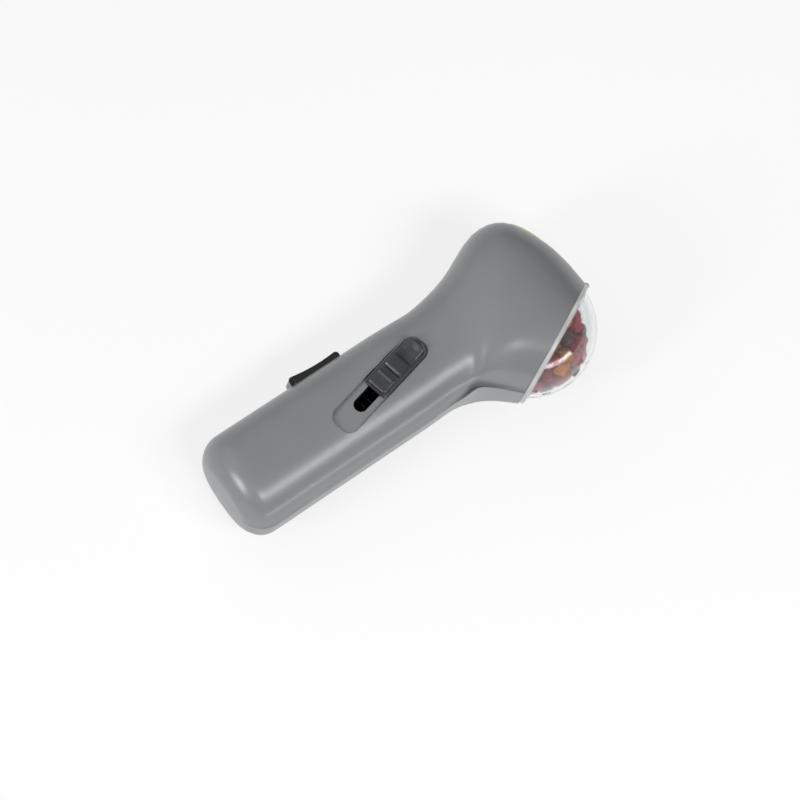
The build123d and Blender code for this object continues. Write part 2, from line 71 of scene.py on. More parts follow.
def spot(x, y, z):
    """World point of the drawing's point, which is given in millimetres."""
    return origin + (along * x + across * y + up * z) * 0.001


def way(x, y, z):
    """World direction of a direction in the drawing."""
    return (along * x + across * y + up * z).normalized()


print("the drawing's origin:", [round(v, 4) for v in origin])

# %% [markdown]
# The hopper's rim is turned against the handle, and the slider runs along the barrel, which is
# turned a little too. Each has axes of its own here, because the lid's finish, the treats and
# the knob are placed from them. The knob's extents are measured from its solid, which is safer
# than writing its sizes a second time.

# %% The rim's axes and the slider's
rim_turn = math.radians(26.9)
rim_middle = spot(149.15, -20.25, 0)
rim_along = way(math.cos(rim_turn), math.sin(rim_turn), 0)
rim_out = way(math.sin(rim_turn), -math.cos(rim_turn), 0)
print("rim's middle:", [round(v, 4) for v in rim_middle])

slide = Vector(joints["slider_stroke"]["axis"])
slide_side = up.cross(slide)
knob_solid = nodes["slider_knob"]
knob_points = [knob_solid.matrix_world @ v.co for v in knob_solid.data.vertices]
knob_box = {}
for name, direction in (("slide", slide), ("side", slide_side), ("up", up)):
    reaches = [point.dot(direction) for point in knob_points]
    knob_box[name] = (min(reaches), max(reaches))
print("knob's extents:", {key: [round(v, 4) for v in pair] for key, pair in knob_box.items()})

# %% [markdown]
# ## Camera
# The picture is taken with a long lens from nearly overhead, with the handle's butt at the lower
# left. The camera is placed by its own three axes: towards the camera, to the picture's right
# and up. A long focal length keeps the perspective as slight as it is there.

# %% The camera
toward = way(-0.273, -0.1455, 0.951)
level = (along - toward * along.dot(toward)).normalized()
rise = toward.cross(level)
right = (level * 0.84 - rise * 0.542).normalized()     # the handle climbs 33 degrees to the right
top = toward.cross(right)
target = spot(82.7, -6.2, 0)
distance = 1.6          # metres from the target
seen_width = 0.3217     # metres across the picture at the target

camera_data = bpy.data.cameras.new("camera")
camera_data.sensor_width = 36
camera_data.lens = 36 * distance / seen_width
camera = bpy.data.objects.new("camera", camera_data)
turned = Matrix((right, top, toward)).transposed().to_4x4()
camera.matrix_world = Matrix.Translation(target + toward * distance) @ turned
bpy.context.scene.collection.objects.link(camera)
bpy.context.scene.camera = camera
print("lens:", round(camera_data.lens, 1), "mm")

# %% [markdown]
# ## Small helpers for materials
# A finish is a little tree of nodes. One helper adds a node and links or sets its inputs, and
# one turns a colour as it is read off a screen, in sRGB hex, into the linear numbers that a
# shader reckons with. A pattern's scale is worked out from the real size of its grain.


# %% Node, colour and scale helpers
def add(tree, kind, settings=None, **inputs):
    """Adds a node; an input is a value or another node's output, by its name with _ for a space."""
    made = tree.nodes.new(kind)
    for name, value in (settings or {}).items():
        setattr(made, name, value)
    for name, value in inputs.items():
        key = int(name[1:]) if name[0] == "i" and name[1:].isdigit() else name.replace("_", " ")
        if isinstance(value, bpy.types.NodeSocket):
            tree.links.new(value, made.inputs[key])
        else:
            made.inputs[key].default_value = value
    return made


def hex_colour(text):
    """Linear colour of an sRGB hex value."""
    parts = [int(text[k:k + 2], 16) / 255 for k in (1, 3, 5)]
    linear = [v / 12.92 if v <= 0.04045 else ((v + 0.055) / 1.055) ** 2.4 for v in parts]
    return (*linear, 1.0)


def per_metre(size_mm):
    """Noise scale whose grain is this many millimetres across."""
    return 1000 / size_mm


def new_finish(name):
    """An empty material, its tree and the object's own coordinates."""
    made = bpy.data.materials.new(name)
    made.use_nodes = True
    made.node_tree.nodes.clear()
    coordinates = add(made.node_tree, "ShaderNodeTexCoord").outputs["Object"]
    return made, made.node_tree, coordinates


print("a mid grey in linear numbers:", [round(v, 3) for v in hex_colour("#808080")])

# %% [markdown]
# ## Satin ABS for the two shells
# The body is injection-moulded ABS. The tool's fine spark texture leaves it satin: the
# highlights along the rounded sides are wide and soft. A fine noise gives the bump of that
# texture and a broad faint one the uneven flow of the plastic. An image of real ABS would do
# this too, but a noise has no seams and needs no unwrapping.

# %% The shells' grain and colour
shell_abs, tree, place = new_finish("satin_moulded_abs")
# spark texture about 0.35 mm across, near the finest that the picture can show
grain = add(tree, "ShaderNodeTexNoise", Vector=place, Scale=per_metre(0.35), Detail=2.0)
flow = add(tree, "ShaderNodeTexNoise", Vector=place, Scale=per_metre(38), Detail=3.0)
tone = add(tree, "ShaderNodeValToRGB", Fac=flow.outputs["Fac"])
tone.color_ramp.elements[0].position, tone.color_ramp.elements[1].position = 0.3, 0.7
tone.color_ramp.elements[0].color = hex_colour("#787a7c")
tone.color_ramp.elements[1].color = hex_colour("#7e8082")
rough = add(tree, "ShaderNodeMapRange", Value=flow.outputs["Fac"], To_Min=0.27, To_Max=0.32)
print("made", shell_abs.name)

# %% [markdown]
# A moulded edge is never sharp. A bevel in the shader rounds these by a quarter millimetre,
# which is too little to be worth its faces. The slider's recess has rounder edges, and its
# hollow corners are darkened by painted shade, so a box round the recess has a wider bevel and
# painted shade in its corners. The box follows the slider's path and not the picture.

# %% The shells' edges and the recess
recess_box = ((slide, knob_box["slide"][1] - 0.0185, 0.027),       # direction, middle, reach
              (slide_side, sum(knob_box["side"]) / 2, 0.0072))
near = None
for direction, middle, reach in recess_box:
    share = add(tree, "ShaderNodeVectorMath", {"operation": "DOT_PRODUCT"}, i0=place, i1=direction)
    offset = add(tree, "ShaderNodeMath", {"operation": "COMPARE"}, i0=share.outputs["Value"],
                 i1=middle, i2=reach)
    near = add(tree, "ShaderNodeMath", {"operation": "MULTIPLY"}, i0=offset.outputs[0],
               i1=near.outputs[0] if near else 1.0)
radius = add(tree, "ShaderNodeMapRange", Value=near.outputs[0], To_Min=0.00025, To_Max=0.0005)
edge = add(tree, "ShaderNodeBevel", {"samples": 8}, Radius=radius.outputs["Result"])
bump = add(tree, "ShaderNodeBump", Height=grain.outputs["Fac"], Strength=0.05, Distance=0.00005,
           Normal=edge.outputs["Normal"])
# painted shade: inside the recess's box, ambient occlusion darkens the shells' colour in hollow corners
recess_occlusion = add(tree, "ShaderNodeAmbientOcclusion", {"only_local": True, "samples": 8},
             Distance=0.0022)
painted_corner_shade = add(tree, "ShaderNodeMapRange", Value=recess_occlusion.outputs["AO"], From_Min=0.4, From_Max=0.95,
           To_Min=0.3, To_Max=1.0)
painted_corner_shade = add(tree, "ShaderNodeMix", Factor=near.outputs[0], A=1.0, B=painted_corner_shade.outputs["Result"])
tone_with_painted_shade = add(tree, "ShaderNodeVectorMath", {"operation": "SCALE"}, Vector=tone.outputs["Color"],
           Scale=painted_corner_shade.outputs["Result"])
gloss = add(tree, "ShaderNodeBsdfPrincipled", Base_Color=tone_with_painted_shade.outputs["Vector"],
            Roughness=rough.outputs["Result"], IOR=1.53, Normal=bump.outputs["Normal"])
add(tree, "ShaderNodeOutputMaterial", Surface=gloss.outputs["BSDF"])
print("nodes in", shell_abs.name + ":", len(tree.nodes))

# %% [markdown]
# ## Black plastics
# The slider and the inner mouldings are black ABS with the same kind of texture, a little
# worn to a sheen on the slider's ridges. The trigger is polished: its tool was bright, so it
# shows sharp, small reflections. The barrel is seen only as the dark floor of the slot. One
# black could serve for all of them, but how much each one shines is what tells them apart.

# %% The slider's finish
slider_abs, tree, place = new_finish("textured_black_abs")
# spark texture 0.3 mm across, and patches of 5 mm where a thumb has made it shinier
grain = add(tree, "ShaderNodeTexNoise", Vector=place, Scale=per_metre(0.3), Detail=2.0)
touch = add(tree, "ShaderNodeTexNoise", Vector=place, Scale=per_metre(5), Detail=2.0)
rough = add(tree, "ShaderNodeMapRange", Value=touch.outputs["Fac"], To_Min=0.26, To_Max=0.34)
edge = add(tree, "ShaderNodeBevel", {"samples": 4}, Radius=0.0003)
bump = add(tree, "ShaderNodeBump", Height=grain.outputs["Fac"], Strength=0.06, Distance=0.00005,
           Normal=edge.outputs["Normal"])
gloss = add(tree, "ShaderNodeBsdfPrincipled", Base_Color=hex_colour("#343537"),
            Roughness=rough.outputs["Result"], IOR=1.53, Normal=bump.outputs["Normal"])
add(tree, "ShaderNodeOutputMaterial", Surface=gloss.outputs["BSDF"])
print("made", slider_abs.name)

# %% The trigger's finish
trigger_abs, tree, place = new_finish("polished_black_abs")
# no grain: only a slow wave of 4 mm, which bends the small bright reflections
wave = add(tree, "ShaderNodeTexNoise", Vector=place, Scale=per_metre(4), Detail=1.0)
edge = add(tree, "ShaderNodeBevel", {"samples": 4}, Radius=0.0004)
bump = add(tree, "ShaderNodeBump", Height=wave.outputs["Fac"], Strength=0.05, Distance=0.0001,
           Normal=edge.outputs["Normal"])
gloss = add(tree, "ShaderNodeBsdfPrincipled", Base_Color=hex_colour("#0b0b0c"), Roughness=0.14,
            IOR=1.53, Normal=bump.outputs["Normal"])
add(tree, "ShaderNodeOutputMaterial", Surface=gloss.outputs["BSDF"])
print("made", trigger_abs.name)

# %% The inner mouldings' finish
inner_abs, tree, place = new_finish("matt_black_abs")
# texture 0.4 mm across, left rough from the tool because nobody sees it
grain = add(tree, "ShaderNodeTexNoise", Vector=place, Scale=per_metre(0.4), Detail=2.0)
bump = add(tree, "ShaderNodeBump", Height=grain.outputs["Fac"], Strength=0.08, Distance=0.00005)
gloss = add(tree, "ShaderNodeBsdfPrincipled", Base_Color=hex_colour("#2e2e30"), Roughness=0.45,
            IOR=1.53, Normal=bump.outputs["Normal"])
add(tree, "ShaderNodeOutputMaterial", Surface=gloss.outputs["BSDF"])
print("made", inner_abs.name)

# %% [markdown]
# ## Lime and natural polypropylene
# The muzzle's liner is a bright yellow-green polypropylene, whose slightly waxy gloss comes
# with some light inside it, so it gets a little subsurface scattering. The hopper's funnel and
# the plunger's head are the same plastic left natural.

# %% The lime finish and the natural one
lime_pp, tree, place = new_finish("lime_polypropylene")
# faint clouds of 9 mm, where the pigment isn't quite even
cloud = add(tree, "ShaderNodeTexNoise", Vector=place, Scale=per_metre(9), Detail=2.0)
mix = add(tree, "ShaderNodeValToRGB", Fac=cloud.outputs["Fac"])
mix.color_ramp.elements[0].color = hex_colour("#c6d06a")
mix.color_ramp.elements[1].color = hex_colour("#dbe28c")
gloss = add(tree, "ShaderNodeBsdfPrincipled", Base_Color=mix.outputs["Color"], Roughness=0.28,
            IOR=1.49, Subsurface_Weight=0.1, Subsurface_Scale=0.001)
add(tree, "ShaderNodeOutputMaterial", Surface=gloss.outputs["BSDF"])

natural_pp, tree, place = new_finish("natural_polypropylene")
# the milky clouds of plastic without pigment, 7 mm across
cloud = add(tree, "ShaderNodeTexNoise", Vector=place, Scale=per_metre(7), Detail=2.0)
mix = add(tree, "ShaderNodeValToRGB", Fac=cloud.outputs["Fac"])
mix.color_ramp.elements[0].color = hex_colour("#c9cac5")
mix.color_ramp.elements[1].color = hex_colour("#d9d9d4")
gloss = add(tree, "ShaderNodeBsdfPrincipled", Base_Color=mix.outputs["Color"], Roughness=0.32,
            IOR=1.49)
add(tree, "ShaderNodeOutputMaterial", Surface=gloss.outputs["BSDF"])
print("made", lime_pp.name, natural_pp.name)

# %% [markdown]
# ## Clear polystyrene
# The domed lid is clear polystyrene: smooth on both sides, index 1.59, with very faint flow
# lines from the mould that only bend its reflections. Its flange is matt, which reads as the
# pale line between the grey rim and the dome. The lid is one piece, so both finishes are in one
# material, and the distance of a point from the rim's plane says which of them it gets.

# %% The clear finish with its matt flange
clear_ps, tree, place = new_finish("clear_polystyrene")
flow = add(tree, "ShaderNodeTexNoise", Vector=place, Scale=per_metre(14), Detail=1.0)
bump = add(tree, "ShaderNodeBump", Height=flow.outputs["Fac"], Strength=0.04, Distance=0.0003)
gloss = add(tree, "ShaderNodeBsdfPrincipled", Base_Color=hex_colour("#f4f6f7"), Roughness=0.03,
            IOR=1.59, Specular_IOR_Level=0.4, Transmission_Weight=1.0,
            Normal=bump.outputs["Normal"])
matt = add(tree, "ShaderNodeBsdfPrincipled", Base_Color=hex_colour("#dfe2e1"), Roughness=0.3,
           IOR=1.59, Transmission_Weight=0.35)
# the flange is the first 1.6 mm out of the rim's plane, and the dome is clear from 2.1 mm on
rim_plane = rim_middle.dot(rim_out)
outward = add(tree, "ShaderNodeVectorMath", {"operation": "DOT_PRODUCT"}, i0=place, i1=rim_out)
flange = add(tree, "ShaderNodeMapRange", Value=outward.outputs["Value"],
             From_Min=rim_plane + 0.0016, From_Max=rim_plane + 0.0021, To_Min=0.7, To_Max=0.0)
lid_mix = add(tree, "ShaderNodeMixShader", Fac=flange.outputs["Result"],
              i1=gloss.outputs["BSDF"], i2=matt.outputs["BSDF"])
add(tree, "ShaderNodeOutputMaterial", Surface=lid_mix.outputs["Shader"])
print("made", clear_ps.name)

# %% [markdown]
# ## Rubber and steel
# The seal, the bumper and the plunger's pad are black nitrile rubber, dull and slightly dusty.
# The pins, the rod and the screws are zinc-plated steel. The trigger's spring is bright drawn
# wire: its draw lines run round the coil too finely to see, so its roughness only varies a
# little. The launch spring is the same wire, blackened in oil, and nearly lost in the slot.

# %% The rubber's finish
rubber, tree, place = new_finish("nitrile_rubber")
# dust in patches of 1.5 mm, which only shifts the black a little
dust = add(tree, "ShaderNodeTexNoise", Vector=place, Scale=per_metre(1.5), Detail=3.0)
mix = add(tree, "ShaderNodeValToRGB", Fac=dust.outputs["Fac"])
mix.color_ramp.elements[0].color = hex_colour("#1d1d1e")
mix.color_ramp.elements[1].color = hex_colour("#2a2a2b")
gloss = add(tree, "ShaderNodeBsdfPrincipled", Base_Color=mix.outputs["Color"], Roughness=0.75,
            IOR=1.5)
add(tree, "ShaderNodeOutputMaterial", Surface=gloss.outputs["BSDF"])
print("made", rubber.name)

# %% The three steels
# name, colour, metallic, grain in millimetres, smoothest and roughest place
steels = (
    # zinc plate: bright and slightly mottled by its crystals
    ("zinc_plated_steel", "#b9bcc0", 1.0, 0.8, 0.2, 0.38),
    # drawn wire: greyer, with a finer and softer shine
    ("drawn_spring_wire", "#9a9da1", 1.0, 0.5, 0.26, 0.42),
    # oil-blackened wire: its dark skin hides half of the metal's shine
    ("blackened_spring_wire", "#4a4a4c", 0.5, 0.6, 0.4, 0.55),
)
steel_finishes = []
for name, colour, metallic, grain_mm, smoothest, roughest in steels:
    finish, tree, place = new_finish(name)
    mottle = add(tree, "ShaderNodeTexNoise", Vector=place, Scale=per_metre(grain_mm), Detail=3.0)
    rough = add(tree, "ShaderNodeMapRange", Value=mottle.outputs["Fac"], To_Min=smoothest,
                To_Max=roughest)
    gloss = add(tree, "ShaderNodeBsdfPrincipled", Base_Color=hex_colour(colour),
                Metallic=metallic, Roughness=rough.outputs["Result"])
    add(tree, "ShaderNodeOutputMaterial", Surface=gloss.outputs["BSDF"])
    steel_finishes.append(finish)
zinc_steel, spring_wire, dark_wire = steel_finishes
print("made", *[finish.name for finish in steel_finishes])

# %% [markdown]
# ## Every node gets its finish
# Each solid keeps its shape and takes the finish of what it is made of. The list goes from a
# finish to its pieces, because that is how a workshop's order for material reads.

# %% Finishes on the frame's pieces
finishes = {
    shell_abs: ["upper_shell", "lower_shell"],
    slider_abs: ["slider_knob"],
    trigger_abs: ["trigger_lever"],
    inner_abs: ["launch_barrel", "barrel_retaining_ring", "slider_carriage", "spring_seat"],
    lime_pp: ["muzzle_liner"],
    natural_pp: ["hopper_funnel", "plunger_head"],
    clear_ps: ["hopper_lid"],
    rubber: ["hopper_seal_ring", "plunger_pad", "bumper_washer"],
    zinc_steel: ["plunger_rod", "trigger_sear", "trigger_pin", "lid_hinge_pin", "shell_screws"],
    spring_wire: ["trigger_spring"],
    dark_wire: ["launch_spring"],
}
finish_of = {name: finish for finish, names in finishes.items() for name in names}
for name, finish in finish_of.items():
    for slot in nodes[name].material_slots:
        slot.material = finish
missing = sorted(set(nodes) - set(finish_of))
print("finished nodes:", len(finish_of), "without a finish:", missing)

# %% [markdown]
# ## Smooth skins for what the eye sees
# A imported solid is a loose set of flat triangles. On satin plastic and on clear plastic their
# edges would show in every highlight. The pieces that the eye sees are therefore copied, their
# triangles merged, and shaded smooth wherever two faces meet at less than a set angle. A
# subdivision would round the true edges away, so the shading alone is changed.

# %% Merged, smooth copies
body_of = {n: b for b, names in frame["record"]["behaviour"]["bodies"].items() for n in names}


def smooth_below(shape, angle):
    """Shades a mesh smooth, except at edges where its faces meet at this angle or more."""
    for face in shape.faces:
        face.smooth = True
    for line in shape.edges:
        line.smooth = line.is_manifold and line.calc_face_angle(0) < math.radians(angle)


def stand_for(piece, node):
    """Puts a piece into the scene in the place of a node."""
    bpy.context.scene.collection.objects.link(piece)
    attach(piece, body_of[node])
    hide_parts(node)


def skin(node, angle):
    """Smooth copy of a node, which then stands for it."""
    source = nodes[node].data
    mesh = bpy.data.meshes.new(node + "_skin")
    mesh.from_pydata([v.co[:] for v in source.vertices], [],
                     [p.vertices[:] for p in source.polygons])
    shape = bmesh.new()
    shape.from_mesh(mesh)
    bmesh.ops.remove_doubles(shape, verts=shape.verts, dist=2e-6)
    bmesh.ops.dissolve_degenerate(shape, edges=shape.edges, dist=1e-6)
    smooth_below(shape, angle)
    shape.to_mesh(mesh)
    shape.free()
    mesh.materials.append(finish_of[node])
    stand_for(bpy.data.objects.new(node + "_skin", mesh), node)


# %% The skins
for name in ("upper_shell", "lower_shell"):
    skin(name, 28)
for name in ("hopper_lid", "muzzle_liner", "trigger_lever", "hopper_funnel", "launch_barrel",
             "launch_spring", "trigger_spring", "slider_carriage"):
    skin(name, 35)

# %% [markdown]
# ## The slider's knob
# The knob is held between thumb and finger, and its forms are finer than the solid's: a low
# bead before the groove, a slope behind it, a thumb scoop that rises to a rim at the front. It
# could be cut from a block with many small bevels. Sections across the slider's path are
# steadier: each is set by curves along the knob, for the height of its top, the depth of the
# thumb's dish and the half breadth of its base plate. It fills the solid's own extents and no
# more.

# %% The knob's curves
knob_length = (knob_box["slide"][1] - knob_box["slide"][0]) * 1000
knob_half = (knob_box["side"][1] - knob_box["side"][0]) * 500
knob_height = (knob_box["up"][1] - knob_box["up"][0]) * 1000
plate = 1.4             # height of the base plate, millimetres as all of the knob's sizes
rear_corner = 1.2       # rounding of the base plate's corners behind
front_corner = 4.0      # and in front

# place along the knob and height of the top: rear block, bead, groove, step, thumb pad, rim
top_line = [(0.0, plate), (0.4, plate), (0.55, 3.45), (1.25, 3.9), (5.7, 3.95),
            (6.6, knob_height), (6.95, knob_height), (7.1, knob_height - 0.2),
            (7.3, 1.75), (10.2, 1.7), (10.35, 3.2),
            (11.3, 3.85), (16.2, 3.45), (17.2, 2.95), (20.4, 2.8), (23.2, 3.2),
            (25.3, 4.05), (26.0, 4.1), (26.75, plate), (knob_length, plate)]
# place along the knob and depth of the dish in its middle
dish_line = [(0.0, 0.0), (1.3, 0.0), (3.5, 0.12), (6.0, 0.0), (16.4, 0.0), (18.5, 0.45),
             (23.0, 0.45), (25.3, 0.0), (knob_length, 0.0)]


def curve(line, u):
    """Value of a broken line at a place along the knob."""
    for (start, low), (end, far) in zip(line, line[1:]):
        if u <= end:
            return low + (far - low) * (u - start) / (end - start)
    return line[-1][1]


def half_breadth(u):
    """Half breadth of the base plate: small corners behind, wide ones in front."""
    for reach, corner in ((u, rear_corner), (knob_length - u, front_corner)):
        if reach < corner:
            return knob_half - corner + math.sqrt(corner ** 2 - (corner - reach) ** 2)
    return knob_half


print("knob:", round(knob_length, 1), "x", round(2 * knob_half, 1), "x", round(knob_height, 1))

# %% [markdown]
# A section goes up the plate's side, in along the plate, up the body's side with a rounded
# corner, and across the top, where the dish sinks towards the middle. The other half is its
# mirror image.

# %% One section of the knob
body_half = 4.3         # half breadth of the body on the plate
margin = 0.6            # the plate stands out past the body by at least this
plate_edge = 0.25       # chamfer of the plate's edge
top_corner = 0.45       # rounding of the body's top corner
draft = 0.05            # the body's sides lean in by this


def knob_section(u, top_height):
    """Points across the knob at one place along it, as breadth and height."""
    base = half_breadth(u)
    rise = max(top_height, plate + 0.02)
    foot = min(body_half, base - margin)
    shoulder = foot - draft
    corner = min(top_corner, (rise - plate) * 0.6)
    dish = curve(dish_line, u)
    side = [(base, 0.0), (base, plate - plate_edge), (base - plate_edge, plate),
            (foot + 0.02, plate + 0.01), (shoulder, rise - corner)]
    for angle in (22.5, 45, 67.5, 90):
        turn = math.radians(angle)
        side.append((shoulder - 2 * corner * (1 - math.cos(turn)),
                     rise - corner + corner * math.sin(turn)))
    for share in (0.8, 0.6, 0.4, 0.2):
        side.append(((shoulder - 2 * corner) * share, rise - dish * (1 - share ** 2)))
    return side + [(0.0, rise - dish)] + [(-w, h) for w, h in reversed(side)]


print("points in a section:", len(knob_section(knob_length / 2, knob_height)))


# %% Where the sections stand
def rounded_line(line, reach):
    """The same line with each inner corner swept round by a short curve."""
    soft = [line[0]]
    for before, corner, after in zip(line, line[1:], line[2:]):
        before, corner, after = Vector(before), Vector(corner), Vector(after)
        back, ahead = before - corner, after - corner
        first = corner + back.normalized() * min(reach, back.length * 0.45)
        last = corner + ahead.normalized() * min(reach, ahead.length * 0.45)
        for k in range(5):
            t = k / 4
            soft.append(tuple(first * (1 - t) ** 2 + corner * 2 * t * (1 - t) + last * t ** 2))
    return soft + [line[-1]]


closest, furthest = 0.01, 0.6          # from one section to the next
stations = []
for u, height in rounded_line(top_line, 0.16):
    if not stations or u - stations[-1][0] > closest:
        stations.append((u, height))
sections = []
for (start, low), (end, far) in zip(stations, stations[1:]):
    steps = max(1, round((end - start) / furthest))
    sections += [(start + (end - start) * k / steps, low + (far - low) * k / steps)
                 for k in range(steps)]
sections.append(stations[-1])
print("sections:", len(sections))

# %% The knob's mesh
rear_middle = (slide * knob_box["slide"][0] + slide_side * sum(knob_box["side"]) / 2
               + up * knob_box["up"][0])
verts, rows = [], []
for u, height in sections:
    points = knob_section(u, height)
    rows.append(range(len(verts), len(verts) + len(points)))
    verts += [rear_middle + (slide * u + slide_side * w + up * h) * 0.001 for w, h in points]
quads = []
for row, following in zip(rows, rows[1:]):
    quads += [(row[k], row[k + 1], following[k + 1], following[k]) for k in range(len(row) - 1)]
    quads.append((row[-1], row[0], following[0], following[-1]))
knob_mesh = bpy.data.meshes.new("slider_knob_formed")
knob_mesh.from_pydata(verts, [], quads + [tuple(rows[0]), tuple(reversed(rows[-1]))])
shape = bmesh.new()
shape.from_mesh(knob_mesh)
bmesh.ops.recalc_face_normals(shape, faces=shape.faces)
smooth_below(shape, 40)
shape.to_mesh(knob_mesh)
shape.free()
knob_mesh.materials.append(slider_abs)
stand_for(bpy.data.objects.new("slider_knob_formed", knob_mesh), "slider_knob")
print("knob's faces:", len(knob_mesh.polygons))

# %% [markdown]
# ## Treats in the hopper
# The clear lid shows the dispenser loaded: small chewy cubes in raspberry, orange and tan. A
# physics drop could pile them, but the heap is seen only through the dome, so its places are
# worked out: one layer over the heap's rounded outside, and a close packing within. Each place
# keeps a least distance from the others, wider in the layer that is seen.

# %% Where a treat may lie
# along the rim, out of it and up, in millimetres from the rim's middle
dome_middle = Vector((0, -10.9, 0))
dome_inside = 26.3                         # the dome's inner radius
mouth = 20.4                               # the funnel's mouth
heap_middle = Vector((-5.5, -8.0, 0))
heap_radius = 24.0                         # the heap's rounded outside
treat = 5.7                                # middle size of a treat
places = []


def fits(point, gap):
    """Whether a treat may lie here, inside the dome, the funnel's mouth and the heap."""
    inside = (point - heap_middle).length < heap_radius - treat * 0.45
    inside = inside and (point - dome_middle).length < dome_inside - treat * 0.5
    if point.y < 1:
        inside = inside and math.hypot(point.x, point.z) < mouth - treat * 0.5
    return inside and all((point - other).length > gap for other in places)


# %% The layer against the dome
rays = 1500
to_dome = dome_middle - heap_middle
for k in range(rays):
    height = 1 - 2 * (k + 0.5) / rays
    turned_by = k * math.pi * (3 - math.sqrt(5))
    flat = math.sqrt(1 - height * height)
    ray = Vector((math.cos(turned_by) * flat, height, math.sin(turned_by) * flat))
    # from the heap's middle to the dome's inside along this ray
    ahead = ray.dot(to_dome)
    aside = to_dome.length_squared - ahead ** 2
    wall_away = ahead + math.sqrt(dome_inside ** 2 - aside)
    point = heap_middle + ray * (min(heap_radius, wall_away) - treat * 0.52)
    if point.y > -1 and fits(point, treat * 0.97):
        places.append(point)
print("treats against the dome:", len(places))

# %% The packing within
chance = random.Random(17)
for i in range(-7, 8):
    for j in range(-7, 8):
        for k in range(-7, 8):
            point = Vector((i + 0.5 * (j % 2), j * 0.866, k + 0.5 * (j % 2))) * treat
            point += heap_middle + Vector([chance.uniform(-0.4, 0.4) for _ in range(3)])
            if point.y > -9 and fits(point, treat * 0.84):
                places.append(point)
print("treats:", len(places))

# %% [markdown]
# ## What a treat looks like
# The treats are baked: a dry crumb in the colour of its flavour, with small pits where steam
# came out. The tint is read from each treat, so one material serves the whole heap.

# %% The treats' finish
treat_crumb, tree, place = new_finish("baked_treat_crumb")
tint = add(tree, "ShaderNodeAttribute", {"attribute_name": "tint"})
# crumbs of 0.9 mm lighten and darken the tint, and pits of 1.1 mm break up the shine
crumb = add(tree, "ShaderNodeTexNoise", Vector=place, Scale=per_metre(0.9), Detail=4.0)
pits = add(tree, "ShaderNodeTexVoronoi", Vector=place, Scale=per_metre(1.1))
shade = add(tree, "ShaderNodeMapRange", Value=crumb.outputs["Fac"], To_Min=0.55, To_Max=1.3)
colour = add(tree, "ShaderNodeVectorMath", {"operation": "SCALE"}, Vector=tint.outputs["Color"],
             Scale=shade.outputs["Result"])
bump = add(tree, "ShaderNodeBump", Height=pits.outputs["Distance"], Strength=0.5,
           Distance=0.0003)
gloss = add(tree, "ShaderNodeBsdfPrincipled", Base_Color=colour.outputs["Vector"], Roughness=0.6,
            IOR=1.45, Normal=bump.outputs["Normal"])
add(tree, "ShaderNodeOutputMaterial", Surface=gloss.outputs["BSDF"])
print("made", treat_crumb.name)

# %% [markdown]
# ## The heap by Geometry Nodes
# The treats repeat one shape, so Geometry Nodes place them: a cube is softened by one
# subdivision, put on each point with the turn and the size stored there, made real, and then
# pushed in and out by a fine noise so that no two are alike. A hundred objects made by hand
# would give the same picture, but could not be changed by one number.

# %% Points that carry a turn, a size and a colour
# raspberry dark and light, plum, orange, tan, rust and cocoa, each with its share of the bag
flavours = [("#8a2038", 5), ("#a02c48", 4), ("#5a3238", 1), ("#c4701c", 5), ("#b48038", 4),
            ("#98301c", 1), ("#5f4038", 1)]
bag = [hex_colour(text) for text, share in flavours for _ in range(share)]
points = bpy.data.meshes.new("treat_places")
points.from_pydata([rim_middle + (rim_along * p.x + rim_out * p.y + up * p.z) * 0.001
                    for p in places], [], [])
for name, kind in (("turn", "FLOAT_VECTOR"), ("girth", "FLOAT_VECTOR"), ("tint", "FLOAT_COLOR")):
    points.attributes.new(name, kind, "POINT")
for k in range(len(places)):
    points.attributes["turn"].data[k].vector = [chance.uniform(0, math.tau) for _ in range(3)]
    points.attributes["girth"].data[k].vector = [treat * 0.001 * chance.uniform(0.84, 1.12)
                                                 for _ in range(3)]
    points.attributes["tint"].data[k].color = chance.choice(bag)
print("points:", len(points.vertices), "colours in the bag:", len(bag))

# %% The tree that makes the heap
group = bpy.data.node_groups.new("heap_of_treats", "GeometryNodeTree")
for name, kind in (("Places", "Geometry"), ("Roundness", "Int"), ("Roughening", "Float"),
                   ("Finish", "Material")):
    group.interface.new_socket(name, in_out="INPUT", socket_type="NodeSocket" + kind)
group.interface.new_socket("Treats", in_out="OUTPUT", socket_type="NodeSocketGeometry")
start = add(group, "NodeGroupInput")
turn = add(group, "GeometryNodeInputNamedAttribute", {"data_type": "FLOAT_VECTOR"}, Name="turn")
girth = add(group, "GeometryNodeInputNamedAttribute", {"data_type": "FLOAT_VECTOR"}, Name="girth")
cube = add(group, "GeometryNodeMeshCube", Size=(1, 1, 1), i1=3, i2=3, i3=3)
soft = add(group, "GeometryNodeSubdivisionSurface", Mesh=cube.outputs["Mesh"],
           Level=start.outputs["Roundness"])
euler = add(group, "FunctionNodeEulerToRotation", Euler=turn.outputs["Attribute"])
put = add(group, "GeometryNodeInstanceOnPoints", Points=start.outputs["Places"],
          Instance=soft.outputs["Mesh"], Rotation=euler.outputs["Rotation"],
          Scale=girth.outputs["Attribute"])
real = add(group, "GeometryNodeRealizeInstances", Geometry=put.outputs["Instances"])
lump = add(group, "ShaderNodeTexNoise", Scale=per_metre(3.2), Detail=1.0)
centred = add(group, "ShaderNodeVectorMath", {"operation": "SUBTRACT"}, i0=lump.outputs["Color"],
              i1=(0.5, 0.5, 0.5))
pushed = add(group, "ShaderNodeVectorMath", {"operation": "SCALE"}, i0=centred.outputs["Vector"],
             Scale=start.outputs["Roughening"])
moved = add(group, "GeometryNodeSetPosition", Geometry=real.outputs["Geometry"],
            Offset=pushed.outputs["Vector"])
smooth = add(group, "GeometryNodeSetShadeSmooth", Geometry=moved.outputs["Geometry"])
dressed = add(group, "GeometryNodeSetMaterial", Geometry=smooth.outputs["Geometry"],
              Material=start.outputs["Finish"])
add(group, "NodeGroupOutput", Treats=dressed.outputs["Geometry"])
print("nodes in the tree:", len(group.nodes))

